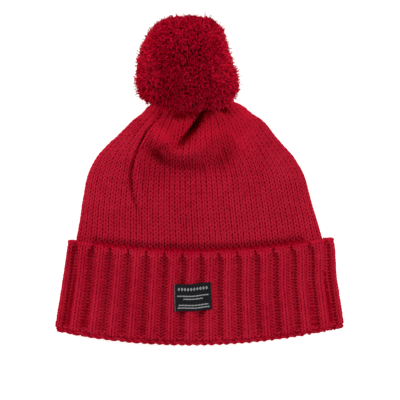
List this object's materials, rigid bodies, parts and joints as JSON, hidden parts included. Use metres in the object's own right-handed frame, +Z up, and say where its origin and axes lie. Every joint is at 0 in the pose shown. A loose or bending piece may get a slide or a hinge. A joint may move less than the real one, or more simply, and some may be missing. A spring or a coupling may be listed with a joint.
{
  "type": "beanie",
  "caption": "Knitted bobble hat lying on its back: jersey crown gathered at the tip, ribbed turned-up cuff with a small woven label, and a yarn pompom.",
  "frame": {"origin": "on the surface the hat lies on, under the middle of its outline", "axes": "+Z up, out of the hat's front face; +Y from the head opening towards the pompom; +X to the right of someone who looks down at the front"},
  "size_m": [0.2308, 0.2642, 0.0778],
  "materials": {
    "jersey": "matt knitted wool",
    "rib": "matt ribbed wool",
    "pile": "cut wool pile",
    "label_weave": "matt woven tape"
  },
  "bodies": {
    "root": {"crown": "jersey", "cuff": "rib", "pompom": "pile", "pompom_tie": "pile", "label": "label_weave"}
  },
  "joints": []
}
